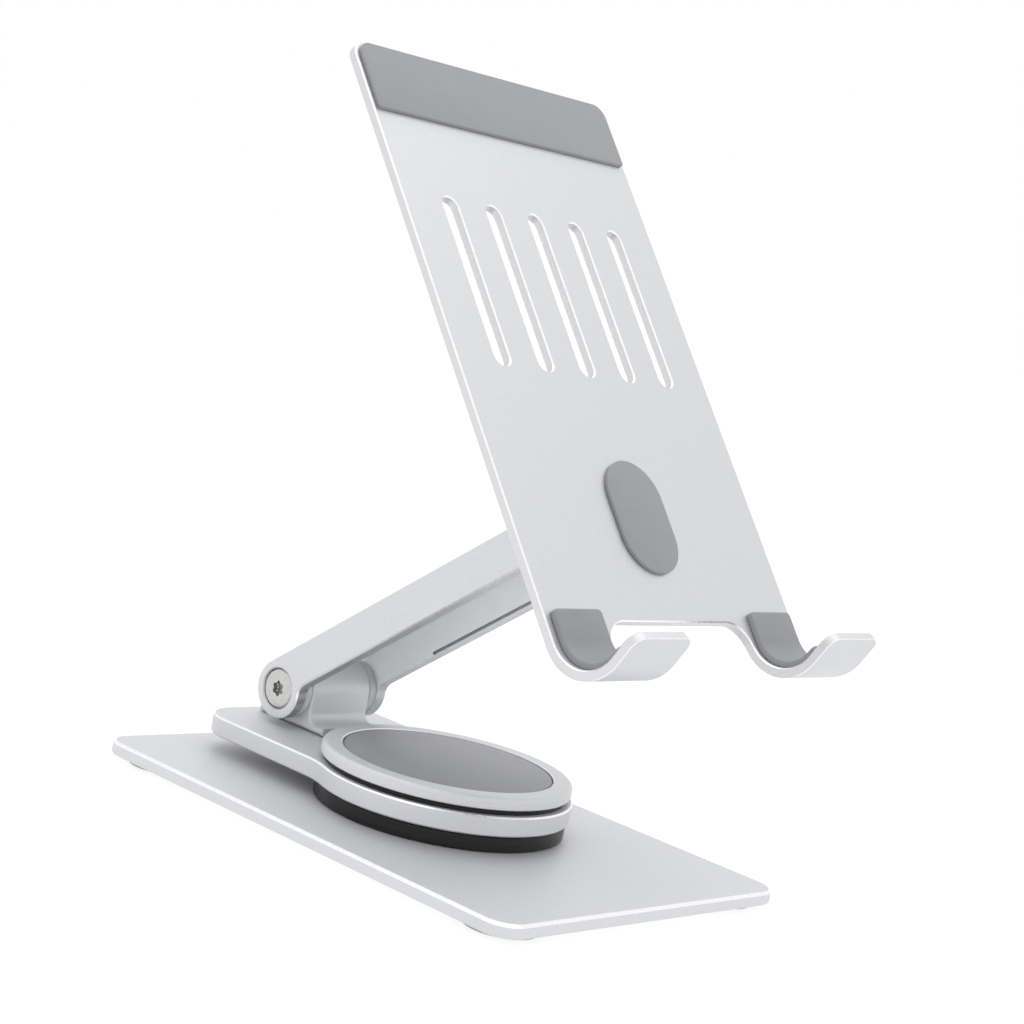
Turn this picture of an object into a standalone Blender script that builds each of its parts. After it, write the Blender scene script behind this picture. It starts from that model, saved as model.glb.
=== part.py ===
"""Folding tablet stand: a slotted holder plate with two hooks on a double-hinged arm, on a round turntable
with a keyhole-shaped swivel plate, over a flat rectangular base.

Metres, +Z up. +X is the stand's right, the user sits at -Y, and z = 0 is the desk. The origin is on the desk
under the middle of the whole stand. Each moving body hangs on an empty that sits on its joint's axis:
the turntable on a vertical axis, the arm on the lower hinge pin and the holder on the upper hinge pin.
"""

import math

import bmesh
import bpy
from mathutils import Matrix

# Turntable and base
TURN_Y = 0.0091            # the vertical axis lies this far behind the middle of the stand
FOOT_H = 0.0015
FOOT_R = 0.0120
FOOT_INSET = 0.0145        # foot centre to the base plate's edges
BASE_W, BASE_L, BASE_T = 0.1288, 0.1790, 0.0043
BASE_CORNER_R = 0.0085
GAP = 0.0003               # left between pieces that rest on each other
PAD_GAP = 0.0001           # glue line under a pad
CHAMFER = 0.0009           # bright cut edge on the visible plates

DISC_R = 0.0400
RING_R = 0.0401            # black slip ring under the swivel plate
GAP_RING_R = 0.0380        # black slip ring over it
RING_T = 0.0047
GAP_RING_T = 0.0012
DISC_T = 0.0045
DISC_PAD_R = 0.0336
DISC_PAD_T = 0.0013
POST_FLANGE_R = 0.0200
POST_R = 0.0125

SWIVEL_R = 0.0410          # round end of the swivel plate
SWIVEL_T = 0.0062
TAIL_HALF_W = 0.0353
TAIL_END = 0.0800          # turntable axis to the end of the tail
TAIL_CORNER_R = 0.0130
TAIL_FILLET_R = 0.0260     # hollow curve between the round end and the tail

# Lower hinge and arm
HINGE_Y = 0.0608           # behind the turntable axis
HINGE_Z = 0.0294
KNUCKLE_R = 0.0096
KNUCKLE_HALF_W = 0.0130
TOE_FRONT = 0.0168         # hinge pin to the front end of the block's foot
TOE_BACK = 0.0144
TOE_T = 0.0026
HEEL_T = 0.0042
ARM_ANGLE = math.radians(36.35)
ARM_LENGTH = 0.1283        # pin to pin
ARM_HALF_W = 0.02035
ARM_END_R = 0.0097
ARM_UNDER = 0.0033         # pin centre line down to the arm's underside
CHEEK_T = 0.0051
FORK_R = 0.0115            # round bottom of the fork, about the pin
ARM_FILLET_R = 0.0050
ROOF_T = 0.0028            # the arm's top wall, over its channel
GROOVE_START, GROOVE_END = 0.0375, 0.1090
GROOVE_LIP, GROOVE_W, GROOVE_DEPTH = 0.0003, 0.0011, 0.0012
CHEEK_RECESS_R, CHEEK_RECESS = 0.0113, 0.0010
CAP_R, CAP_T = 0.00645, 0.0018
CAP_RECESS_R, CAP_RECESS = 0.0068, 0.0023
PIN_R = 0.0035
WASHER_R, THICK_WASHER, THIN_WASHER = 0.0092, 0.0028, 0.0018
SOCKET_R, SOCKET_LOBE, SOCKET_DEPTH = 0.00228, 0.00032, 0.0019

# Holder, in its own upright frame: the pin is the origin, the plate's front faces -Y
LEAN = math.radians(38.96)
PLATE_T = 0.0030
PLATE_BACK = 0.0122        # pin to the plate's back
PLATE_HALF_W = 0.0584
PLATE_TOP = 0.1545
PLATE_CORNER_R = 0.0060
HOOK_R = 0.0124            # inside radius of the hooks
HOOK_Z = -0.0410
HOOK_BEND = math.radians(111)
LIP_LENGTH = 0.0100
LIP_CORNER_R = 0.0040
NOTCH_HALF_W, NOTCH_TOP, NOTCH_R = 0.0335, -0.0344, 0.0090
SLOT_PITCH, SLOT_HALF_W = 0.0192, 0.0033
SLOT_LOW, SLOT_HIGH = 0.0462, 0.1030
PAD_T = 0.0011
TOP_PAD_LOW, TOP_PAD_INSET = 0.1302, 0.0014
OVAL_HALF_W, OVAL_HALF_H, OVAL_Z = 0.0121, 0.0184, -0.0010
HOOK_PAD_X, HOOK_PAD_HALF_W, HOOK_PAD_T = 0.0456, 0.01015, 0.0019
HOOK_PAD_TOP = -0.0315
HOOK_PAD_REACH = 0.0025    # how far the pads go up the straight lips
LUG_R = 0.0093
LUG_NECK = 0.0028
LUG_SCREW_X, LUG_SCREW_Z = 0.0066, -0.0055

# Fasteners
SCREW_R, SCREW_HOLE_R, SCREW_HEAD_R, SCREW_HEAD_T = 0.0015, 0.0018, 0.0029, 0.0016

BASE_Z = FOOT_H + GAP
BASE_TOP = BASE_Z + BASE_T
SWIVEL_Z = BASE_TOP + RING_T + 2 * GAP
SWIVEL_TOP = SWIVEL_Z + SWIVEL_T
DISC_Z = SWIVEL_TOP + GAP_RING_T
DISC_TOP = DISC_Z + DISC_T
PLATE_FRONT = PLATE_BACK + PLATE_T
HOOK_Y = -(PLATE_FRONT + HOOK_R)

ROUND = 48                 # steps round the large discs
POST = 36                  # steps round the pivot post and the hinge pins
SMALL = 14                 # steps round the screws

LINEAR = {
    "aluminium": ((0.72, 0.73, 0.74), 0.34, 1.0),
    "silicone": ((0.33, 0.34, 0.35), 0.62, 0.0),
    "black_plastic": ((0.015, 0.015, 0.016), 0.40, 0.0),
    "steel": ((0.62, 0.60, 0.57), 0.28, 1.0),
    "rubber": ((0.20, 0.20, 0.21), 0.75, 0.0),
}


# ---------------------------------------------------------------- scene helpers

def clear_scene():
    for obj in list(bpy.data.objects):
        bpy.data.objects.remove(obj, do_unlink=True)


def collection(name):
    group = bpy.data.collections.new(name)
    bpy.context.scene.collection.children.link(group)
    return group


def material(name, kind):
    colour, roughness, metallic = LINEAR[kind]
    made = bpy.data.materials.new(name)
    made.use_nodes = True
    shader = made.node_tree.nodes["Principled BSDF"]
    shader.inputs["Base Color"].default_value = (*colour, 1.0)
    shader.inputs["Roughness"].default_value = roughness
    shader.inputs["Metallic"].default_value = metallic
    return made


def empty(name, location, tilt=0.0, parent=None):
    axis = bpy.data.objects.new(name, None)
    axis.location = location
    axis.rotation_euler.x = tilt
    axis.parent = parent
    PARTS.objects.link(axis)
    return axis


def part(name, mesh, kind, parent, location=(0, 0, 0)):
    """A visible sub-part: its own object and its own material."""
    mesh.name = name
    obj = bpy.data.objects.new(name, mesh)
    obj.location = location
    obj.parent = parent
    mesh.materials.clear()
    mesh.materials.append(material(name, kind))
    mesh.shade_smooth()
    mesh.set_sharp_from_angle(angle=math.radians(35))
    PARTS.objects.link(obj)
    return obj


def cut(target, mesh, location=None):
    """Cuts a mesh, given in the target's own frame, out of the target."""
    tool = bpy.data.objects.new(target.name + "_cutter", mesh)
    tool.parent = target.parent
    tool.location = target.location if location is None else location
    tool.hide_render = True
    tool.display_type = "WIRE"
    CUTTERS.objects.link(tool)
    boolean = target.modifiers.new("cut", "BOOLEAN")
    boolean.operation = "DIFFERENCE"
    boolean.solver = "EXACT"
    boolean.object = tool


def chamfer(obj, width, segments=1, degrees=40):
    bevel = obj.modifiers.new("edge", "BEVEL")
    bevel.width = width
    bevel.segments = segments
    bevel.limit_method = "ANGLE"
    bevel.angle_limit = math.radians(degrees)
    bevel.use_clamp_overlap = True


# ---------------------------------------------------------------- shape helpers

def arc(centre, radius, start, end, steps):
    """Points on an arc from start to end, in degrees, both ends included."""
    turns = [math.radians(start + (end - start) * i / steps) for i in range(steps + 1)]
    return [(centre[0] + radius * math.cos(t), centre[1] + radius * math.sin(t)) for t in turns]


def rounded_box(half_w, low, high, radius, steps=6):
    """A rectangle with four rounded corners, counter-clockwise."""
    x, bottom, top = half_w - radius, low + radius, high - radius
    return (arc((x, bottom), radius, -90, 0, steps) + arc((x, top), radius, 0, 90, steps)
            + arc((-x, top), radius, 90, 180, steps) + arc((-x, bottom), radius, 180, 270, steps))


def face_outwards(work):
    bmesh.ops.recalc_face_normals(work, faces=work.faces)
    if work.calc_volume(signed=True) < 0:
        bmesh.ops.reverse_faces(work, faces=work.faces)


def extruded(points, low, high, along="Z"):
    """A flat outline pushed from low to high along one axis.

    Along Z the outline's points are (x, y), along X they are (y, z), and along Y they are (x, z).
    """
    curve = bpy.data.curves.new("outline", "CURVE")
    curve.dimensions = "2D"
    curve.fill_mode = "BOTH"
    curve.extrude = (high - low) / 2
    spline = curve.splines.new("POLY")
    spline.points.add(len(points) - 1)
    for point, (a, b) in zip(spline.points, points):
        point.co = (a, b, 0, 1)
    spline.use_cyclic_u = True
    holder = bpy.data.objects.new("outline", curve)
    bpy.context.scene.collection.objects.link(holder)
    bpy.context.view_layer.update()
    mesh = bpy.data.meshes.new_from_object(holder.evaluated_get(bpy.context.evaluated_depsgraph_get()))
    bpy.data.objects.remove(holder, do_unlink=True)
    middle = (low + high) / 2
    work = bmesh.new()
    work.from_mesh(mesh)
    bmesh.ops.remove_doubles(work, verts=work.verts, dist=1e-6)
    for way in (-1, 1):
        cap = [face for face in work.faces if all(vert.co.z * way > 0 for vert in face.verts)]
        bmesh.ops.dissolve_faces(work, faces=cap)
    for vert in work.verts:
        a, b, depth = vert.co.x, vert.co.y, vert.co.z + middle
        vert.co = {"Z": (a, b, depth), "X": (depth, a, b), "Y": (a, depth, b)}[along]
    face_outwards(work)
    work.to_mesh(mesh)
    work.free()
    return mesh


def turned(profile, steps, ring=False, along="Z"):
    """A profile of (radius, height) points turned about an axis, outer side from top to bottom."""
    mesh = bpy.data.meshes.new("profile")
    count = len(profile)
    edges = [(i, (i + 1) % count) for i in range(count if ring else count - 1)]
    mesh.from_pydata([(r, 0, z) for r, z in profile], edges, [])
    holder = bpy.data.objects.new("profile", mesh)
    bpy.context.scene.collection.objects.link(holder)
    screw = holder.modifiers.new("turn", "SCREW")
    screw.steps = screw.render_steps = steps
    screw.use_merge_vertices = True
    screw.merge_threshold = 1e-6
    bpy.context.view_layer.update()
    made = bpy.data.meshes.new_from_object(holder.evaluated_get(bpy.context.evaluated_depsgraph_get()))
    bpy.data.objects.remove(holder, do_unlink=True)
    work = bmesh.new()
    work.from_mesh(made)
    bmesh.ops.remove_doubles(work, verts=work.verts, dist=1e-6)
    if along == "X":
        for vert in work.verts:
            vert.co = (vert.co.z, vert.co.x, vert.co.y)
    face_outwards(work)
    work.to_mesh(made)
    work.free()
    return made


def rod(radius, low, high, steps=POST, along="Z"):
    """A plain cylinder from low to high along Z or X."""
    work = bmesh.new()
    bmesh.ops.create_cone(work, cap_ends=True, segments=steps, radius1=radius, radius2=radius, depth=high - low)
    for vert in work.verts:
        x, y, z = vert.co
        z += (low + high) / 2
        vert.co = (z, x, y) if along == "X" else (x, y, z)
    mesh = bpy.data.meshes.new("rod")
    work.to_mesh(mesh)
    work.free()
    return mesh


def screw_profile(head_z, tip_z):
    """A countersunk screw: flat head at head_z, tip at tip_z."""
    way = 1 if tip_z > head_z else -1
    sides = [(0, head_z), (SCREW_HEAD_R, head_z), (SCREW_R, head_z + way * SCREW_HEAD_T), (SCREW_R, tip_z),
             (0, tip_z)]
    return sides if way < 0 else sides[::-1]


def screw_hole(head_z, tip_z):
    """The countersunk hole that a screw sits in, open at the head."""
    way = 1 if tip_z > head_z else -1
    clear = SCREW_HOLE_R - SCREW_R
    sides = [(0, head_z - way * 0.001), (SCREW_HEAD_R + clear, head_z - way * 0.001),
             (SCREW_HEAD_R + clear, head_z), (SCREW_HOLE_R, head_z + way * (SCREW_HEAD_T + clear / 2)),
             (SCREW_HOLE_R, tip_z + way * GAP), (0, tip_z + way * GAP)]
    return turned(sides if way < 0 else sides[::-1], SMALL)


# ---------------------------------------------------------------- base

def base_plate(axis, screws):
    outline = rounded_box(BASE_W / 2, -BASE_L / 2, BASE_L / 2, BASE_CORNER_R)
    plate = part("base_plate", extruded(outline, BASE_Z, BASE_TOP), "aluminium", axis)
    chamfer(plate, CHAMFER)
    for x, y in screws:
        cut(plate, screw_hole(BASE_Z + 0.0002, BASE_TOP + 0.002), (x, y, 0))


def feet(axis):
    profile = [(0, FOOT_H), (FOOT_R, FOOT_H), (FOOT_R - 0.0004, 0.0004), (FOOT_R - 0.0010, 0), (0, 0)]
    x, y = BASE_W / 2 - FOOT_INSET, BASE_L / 2 - FOOT_INSET
    for name, sx, sy in (("front_left", -1, -1), ("front_right", 1, -1), ("back_left", -1, 1),
                         ("back_right", 1, 1)):
        part("foot_" + name, turned(profile, 24), "rubber", axis, (sx * x, sy * y, 0))


def slip_rings(axis):
    low, high, edge = BASE_TOP + GAP, SWIVEL_Z - GAP, 0.0005
    inner = POST_FLANGE_R + 3 * GAP
    part("lower_slip_ring", turned([(inner, high), (RING_R - edge, high), (RING_R, high - edge), (RING_R, low),
                                    (inner, low)], ROUND, ring=True), "black_plastic", axis)
    low, high = SWIVEL_TOP + PAD_GAP, DISC_Z - PAD_GAP
    inner = POST_R + 3 * GAP
    part("upper_slip_ring", turned([(inner, high), (GAP_RING_R, high), (GAP_RING_R, low), (inner, low)],
                                   ROUND, ring=True), "black_plastic", axis)


def pivot_post(axis, base_screws, disc_screws):
    """Flanged steel post that clamps the swivel plate between the two slip rings."""
    low, flange, high = BASE_TOP + GAP, SWIVEL_Z - GAP, DISC_Z - PAD_GAP
    profile = [(0, high), (POST_R, high), (POST_R, flange), (POST_FLANGE_R, flange), (POST_FLANGE_R, low),
               (0, low)]
    post = part("pivot_post", turned(profile, POST), "steel", axis)
    for x, y in base_screws:
        cut(post, rod(SCREW_HOLE_R, low - 0.001, low + 0.0037, SMALL), (x, y, 0))
    for x, y in disc_screws:
        cut(post, rod(SCREW_HOLE_R, high - 0.0055, high + 0.001, SMALL), (x, y, 0))


def top_disc(axis, screws):
    floor = DISC_TOP - DISC_PAD_T - 0.0003
    rim = DISC_PAD_R + 0.0005
    profile = [(0, floor), (rim, floor), (rim, DISC_TOP), (DISC_R - CHAMFER, DISC_TOP),
               (DISC_R, DISC_TOP - CHAMFER), (DISC_R, DISC_Z + 0.0008), (DISC_R - 0.0008, DISC_Z), (0, DISC_Z)]
    disc = part("top_disc", turned(profile, ROUND), "aluminium", axis)
    for x, y in screws:
        cut(disc, screw_hole(floor - 0.0002, DISC_Z - 0.004), (x, y, 0))
    low, high, edge = floor + PAD_GAP, floor + PAD_GAP + DISC_PAD_T, 0.0003
    part("disc_pad", turned([(0, high), (DISC_PAD_R - edge, high), (DISC_PAD_R, high - edge), (DISC_PAD_R, low),
                             (0, low)], ROUND), "silicone", axis)


def build_base():
    axis = empty("base_axis", (0, TURN_Y, 0))
    base_screws = [(0.0145 * math.cos(t), 0.0145 * math.sin(t)) for t in (math.pi / 4 * k for k in (1, 3, 5, 7))]
    disc_screws = arc((0, 0), 0.0075, 90, 330, 2)
    base_plate(axis, base_screws)
    feet(axis)
    slip_rings(axis)
    pivot_post(axis, base_screws, disc_screws)
    top_disc(axis, disc_screws)
    for number, (x, y) in enumerate(base_screws, 1):
        profile = screw_profile(BASE_Z + 0.0002, BASE_TOP + GAP + 0.0032)
        part(f"base_screw_{number}", turned(profile, SMALL), "steel", axis, (x, y, 0))
    floor = DISC_TOP - DISC_PAD_T - 0.0003
    for number, (x, y) in enumerate(disc_screws, 1):
        profile = screw_profile(floor - 0.0002, DISC_Z - 0.0048)
        part(f"disc_screw_{number}", turned(profile, SMALL), "steel", axis, (x, y, 0))


# ---------------------------------------------------------------- turntable

def keyhole_outline():
    """Round front end, hollow fillets, and a straight tail with rounded corners."""
    reach = SWIVEL_R + TAIL_FILLET_R
    fillet_x = TAIL_HALF_W + TAIL_FILLET_R
    fillet_y = math.sqrt(reach ** 2 - fillet_x ** 2)
    lean = math.degrees(math.atan2(fillet_y, fillet_x))
    x, y = TAIL_HALF_W - TAIL_CORNER_R, TAIL_END - TAIL_CORNER_R
    front = arc((0, 0), SWIVEL_R, 180 - lean, 360 + lean, 40)
    right = arc((fillet_x, fillet_y), TAIL_FILLET_R, 180 + lean, 180, 6)[1:]
    left = arc((-fillet_x, fillet_y), TAIL_FILLET_R, 0, -lean, 6)[:-1]
    corners = arc((x, y), TAIL_CORNER_R, 0, 90, 7) + arc((-x, y), TAIL_CORNER_R, 90, 180, 7)
    return front + right + corners + left


def block_outline():
    """Side view of the lower hinge block, (y, z) from the pin: foot, hollow fillets, round top."""
    ground = SWIVEL_TOP + GAP - HINGE_Z
    toe, heel, hollow = ground + TOE_T, ground + HEEL_T, 0.0032
    front = [(-TOE_FRONT, ground), (-TOE_FRONT, toe)]
    front += arc((-KNUCKLE_R - hollow, toe + hollow), hollow, -90, 0, 5)
    crown = arc((0, 0), KNUCKLE_R, 180, 0, 16)
    back = arc((KNUCKLE_R + hollow, heel + hollow), hollow, 180, 270, 4)
    return front + crown + back + [(TOE_BACK, heel), (TOE_BACK, ground)]


def build_turntable():
    axis = empty("turntable_axis", (0, TURN_Y, 0))
    swivel = part("swivel_plate", extruded(keyhole_outline(), SWIVEL_Z, SWIVEL_TOP), "aluminium", axis)
    chamfer(swivel, CHAMFER)
    cut(swivel, rod(POST_R + GAP, SWIVEL_Z - 0.001, SWIVEL_TOP + 0.001))
    pin = (0, HINGE_Y, HINGE_Z)
    block_mesh = extruded(block_outline(), -KNUCKLE_HALF_W, KNUCKLE_HALF_W, "X")
    block = part("lower_hinge_block", block_mesh, "aluminium", axis, pin)
    chamfer(block, 0.0006)
    cut(block, rod(PIN_R + GAP, -0.02, 0.02, along="X"))
    head, tip = SWIVEL_Z + 0.0002, HINGE_Z - PIN_R - 0.0020
    places = [(sx * 0.0078, HINGE_Y + sy * 0.0062) for sx in (-1, 1) for sy in (-1, 1)]
    for number, (x, y) in enumerate(places, 1):
        cut(swivel, screw_hole(head, tip), (x, y, 0))
        cut(block, screw_hole(head, tip), (x, y, 0))
        part(f"block_screw_{number}", turned(screw_profile(head, tip), SMALL), "steel", axis, (x, y, 0))
    return axis


# ---------------------------------------------------------------- arm

def arm_outline():
    """Side view of the arm, (y, z) from the lower pin with the upper pin at -ARM_LENGTH."""
    drop = math.sqrt((ARM_END_R + ARM_FILLET_R) ** 2 - (ARM_UNDER + ARM_FILLET_R) ** 2)
    lean = math.degrees(math.atan2(ARM_UNDER + ARM_FILLET_R, drop))
    lower = arc((0, 0), ARM_END_R, 90, -180 + lean, 22)
    lower_fillet = arc((-drop, -ARM_UNDER - ARM_FILLET_R), ARM_FILLET_R, lean, 90, 4)[1:]
    upper_fillet = arc((drop - ARM_LENGTH, -ARM_UNDER - ARM_FILLET_R), ARM_FILLET_R, 90, 180 - lean, 4)[:-1]
    upper = arc((-ARM_LENGTH, 0), ARM_END_R, -lean, -270, 22)
    return lower + lower_fillet + upper_fillet + upper


def channel_cutter():
    """Side view of the gap between the arm's walls: both forks, and the channel below the roof that joins them."""
    roof = ARM_END_R - ROOF_T
    lean = math.degrees(math.asin(roof / FORK_R))
    lower = arc((0, 0), FORK_R, 180 - lean, 106, 6)
    upper = arc((-ARM_LENGTH, 0), FORK_R, 74, lean, 6)
    low, high, end = -0.02, 0.02, 0.03
    around = [(lower[-1][0], high), (end, high), (end, low), (-ARM_LENGTH - end, low),
              (-ARM_LENGTH - end, high), (upper[0][0], high)]
    return extruded(lower + around + upper, CHEEK_T - ARM_HALF_W, ARM_HALF_W - CHEEK_T, "X")


def cover_groove():
    """A groove along both walls' inner faces, just above the underside."""
    reach = ARM_HALF_W - CHEEK_T + GROOVE_DEPTH
    low, high = GROOVE_LIP - ARM_UNDER, GROOVE_LIP + GROOVE_W - ARM_UNDER
    outline = [(-GROOVE_START, low), (-GROOVE_START, high), (-GROOVE_END, high), (-GROOVE_END, low)]
    return extruded(outline, -reach, reach, "X")


def cheek_recess(side):
    """A round recess milled into one lower cheek's inner face, about the pin, for the washer."""
    inner = ARM_HALF_W - CHEEK_T
    low, high = sorted((side * (inner - 0.0003), side * (inner + CHEEK_RECESS)))
    return rod(CHEEK_RECESS_R, low, high, along="X")


def socket_outline():
    turns = [math.tau * i / 24 for i in range(24)]
    return [((SOCKET_R + SOCKET_LOBE * math.cos(6 * t)) * math.cos(t),
             (SOCKET_R + SOCKET_LOBE * math.cos(6 * t)) * math.sin(t)) for t in turns]


def hinge_hardware(prefix, axis, pin, washer_t):
    """A shoulder bolt from the left, a cap nut on the right, and a washer inside each cheek."""
    outer, shank_end = ARM_HALF_W - 0.0003, ARM_HALF_W - 0.0022
    inner, edge = outer - CAP_T, 0.0003
    bolt_profile = [(0, shank_end), (PIN_R, shank_end), (PIN_R, -inner), (CAP_R, -inner), (CAP_R, edge - outer),
                    (CAP_R - edge, -outer), (0, -outer)]
    bolt = part(prefix + "_hinge_bolt", turned(bolt_profile, 28, along="X"), "steel", axis, pin)
    cut(bolt, extruded(socket_outline(), -outer - 0.001, -outer + SOCKET_DEPTH, "X"))
    bore = PIN_R + GAP
    nut_profile = [(0, outer), (CAP_R - edge, outer), (CAP_R, outer - edge), (CAP_R, inner), (bore, inner),
                   (bore, shank_end + GAP), (0, shank_end + GAP)]
    part(prefix + "_hinge_nut", turned(nut_profile, 28, along="X"), "steel", axis, pin)
    for side, way in (("left", -1), ("right", 1)):
        near, far = KNUCKLE_HALF_W + 0.0002, KNUCKLE_HALF_W + 0.0002 + washer_t
        low, high = sorted((way * near, way * far))
        washer = turned([(bore, high), (WASHER_R, high), (WASHER_R, low), (bore, low)], 24, ring=True, along="X")
        part(f"{prefix}_washer_{side}", washer, "steel", axis, pin)


def build_arm(turntable):
    axis = empty("lower_hinge_axis", (0, HINGE_Y, HINGE_Z), -ARM_ANGLE, turntable)
    arm = part("arm", extruded(arm_outline(), -ARM_HALF_W, ARM_HALF_W, "X"), "aluminium", axis)
    chamfer(arm, 0.0005)
    cut(arm, channel_cutter())
    cut(arm, cover_groove())
    for side in (-1, 1):
        cut(arm, cheek_recess(side))
    floor, out = ARM_HALF_W - CAP_RECESS, ARM_HALF_W + 0.002
    bore = [(0, out), (CAP_RECESS_R, out), (CAP_RECESS_R, floor), (PIN_R + GAP, floor),
            (PIN_R + GAP, -floor), (CAP_RECESS_R, -floor), (CAP_RECESS_R, -out), (0, -out)]
    for pin_y in (0, -ARM_LENGTH):
        cut(arm, turned(bore, 28, along="X"), (0, pin_y, 0))
    hinge_hardware("lower", axis, (0, 0, 0), THICK_WASHER)
    hinge_hardware("upper", axis, (0, -ARM_LENGTH, 0), THIN_WASHER)
    return axis


# ---------------------------------------------------------------- holder

def hook_curve(radius, start, end, steps):
    """Points round the hooks' bend, (y, z); start and end are angles turned from the flat plate."""
    turns = [start + (end - start) * i / steps for i in range(steps + 1)]
    return [(HOOK_Y + radius * math.cos(t), HOOK_Z - radius * math.sin(t)) for t in turns]


def up_the_lip(point, distance):
    return point[0] - distance * math.sin(HOOK_BEND), point[1] - distance * math.cos(HOOK_BEND)


def plate_outline():
    """Side view of the plate with its hooks: back face down, round the bend, out along the lip and back."""
    outer = hook_curve(HOOK_R + PLATE_T, 0, HOOK_BEND, 14)
    inner = hook_curve(HOOK_R, HOOK_BEND, 0, 14)
    tip = [up_the_lip(outer[-1], LIP_LENGTH), up_the_lip(inner[0], LIP_LENGTH)]
    return [(-PLATE_BACK, PLATE_TOP)] + outer + tip + inner + [(-PLATE_FRONT, PLATE_TOP)]


def front_mask():
    """Front view of what is cut from the folded strip: everything outside the rounded outline and the notch."""
    low = HOOK_Z - 0.05
    x, top = PLATE_HALF_W - PLATE_CORNER_R, PLATE_TOP - PLATE_CORNER_R
    corner = [(PLATE_HALF_W, top)] + arc((x, top), PLATE_CORNER_R, 0, 90, 6)[1:]
    outside = corner + [(x, PLATE_TOP + 0.01), (PLATE_HALF_W + 0.01, PLATE_TOP + 0.01),
                        (PLATE_HALF_W + 0.01, top)]
    notch_x, notch_z = NOTCH_HALF_W - NOTCH_R, NOTCH_TOP - NOTCH_R
    notch = ([(NOTCH_HALF_W, low)] + arc((notch_x, notch_z), NOTCH_R, 0, 90, 7)
             + arc((-notch_x, notch_z), NOTCH_R, 90, 180, 7) + [(-NOTCH_HALF_W, low)])
    return outside, notch


def lip_corner_cutter(side_x, way):
    """Rounds one corner of a hook's lip, seen along the plate's normal of the lip."""
    across = (math.cos(HOOK_BEND), -math.sin(HOOK_BEND))
    start = hook_curve(HOOK_R + PLATE_T / 2, HOOK_BEND, HOOK_BEND, 1)[0]
    reach = LIP_LENGTH - LIP_CORNER_R
    corner = arc((side_x - way * LIP_CORNER_R, reach), LIP_CORNER_R, 0 if way > 0 else 180, 90, 6)
    outline = corner + [(side_x - way * LIP_CORNER_R, LIP_LENGTH + 0.002), (side_x + way * 0.002, LIP_LENGTH + 0.002),
                        (side_x + way * 0.002, reach)]
    mesh = extruded(outline, -0.004, 0.004)
    for vert in mesh.vertices:
        x, out, depth = vert.co
        y, z = up_the_lip(start, out)
        vert.co = (x, y + across[0] * depth, z + across[1] * depth)
    mesh.update()
    return mesh


def slot_outline(x):
    low, high = SLOT_LOW + SLOT_HALF_W, SLOT_HIGH - SLOT_HALF_W
    return arc((x, high), SLOT_HALF_W, 0, 180, 8) + arc((x, low), SLOT_HALF_W, 180, 360, 8)


def holder_plate(axis):
    strip = extruded(plate_outline(), -PLATE_HALF_W, PLATE_HALF_W, "X")
    plate = part("holder_plate", strip, "aluminium", axis)
    outside, notch = front_mask()
    cut(plate, extruded(outside, -0.03, 0, "Y"))
    cut(plate, extruded([(-x, z) for x, z in outside[::-1]], -0.03, 0, "Y"))
    cut(plate, extruded(notch, -0.07, 0, "Y"))
    for side_x, way in ((-PLATE_HALF_W, -1), (-NOTCH_HALF_W, 1), (NOTCH_HALF_W, -1), (PLATE_HALF_W, 1)):
        cut(plate, lip_corner_cutter(side_x, way))
    for number in range(5):
        outline = slot_outline((number - 2) * SLOT_PITCH)
        cut(plate, extruded(outline, -PLATE_FRONT - 0.002, -PLATE_BACK + 0.002, "Y"))
    chamfer(plate, 0.0007)
    return plate


def lug_outline():
    """Side view of the upper hinge lug, (y, z) from the pin: round end, and a foot on the plate's back.

    The neck over the pin stays low so that the arm can fold flat against the plate.
    """
    face, foot, hollow = -PLATE_BACK + GAP, 0.0028, 0.0025
    heel = -LUG_R - 0.0075
    lean = math.degrees(math.asin(LUG_NECK / LUG_R))
    crown = arc((0, 0), LUG_R, 180 - lean, -90, 20)
    lower = arc((face + foot + hollow, -LUG_R - hollow), hollow, 90, 180, 4)
    return [(face, LUG_NECK)] + crown + lower + [(face + foot, heel), (face, heel)]


def hook_pad(name, axis, side):
    """Thin silicone strip that lines a hook, following the plate and the bend."""
    skin = PAD_GAP
    outer = hook_curve(HOOK_R - skin, 0, HOOK_BEND, 12)
    inner = hook_curve(HOOK_R - skin - HOOK_PAD_T, HOOK_BEND, 0, 12)
    end = [up_the_lip(outer[-1], HOOK_PAD_REACH), up_the_lip(inner[0], HOOK_PAD_REACH)]
    front = -PLATE_FRONT - skin
    outline = [(front, HOOK_PAD_TOP)] + outer + end + inner + [(front - HOOK_PAD_T, HOOK_PAD_TOP)]
    middle = side * HOOK_PAD_X
    strip = extruded(outline, middle - HOOK_PAD_HALF_W, middle + HOOK_PAD_HALF_W, "X")
    pad = part(name, strip, "silicone", axis)
    for way in (-1, 1):
        edge, radius = middle + way * HOOK_PAD_HALF_W, 0.0016
        corner = arc((edge - way * radius, HOOK_PAD_TOP - radius), radius, 0 if way > 0 else 180, 90, 4)
        outline = corner + [(edge - way * radius, HOOK_PAD_TOP + 0.001), (edge + way * 0.001, HOOK_PAD_TOP + 0.001),
                            (edge + way * 0.001, HOOK_PAD_TOP - radius)]
        cut(pad, extruded(outline, -0.025, -0.010, "Y"))
    chamfer(pad, 0.0003)


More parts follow.
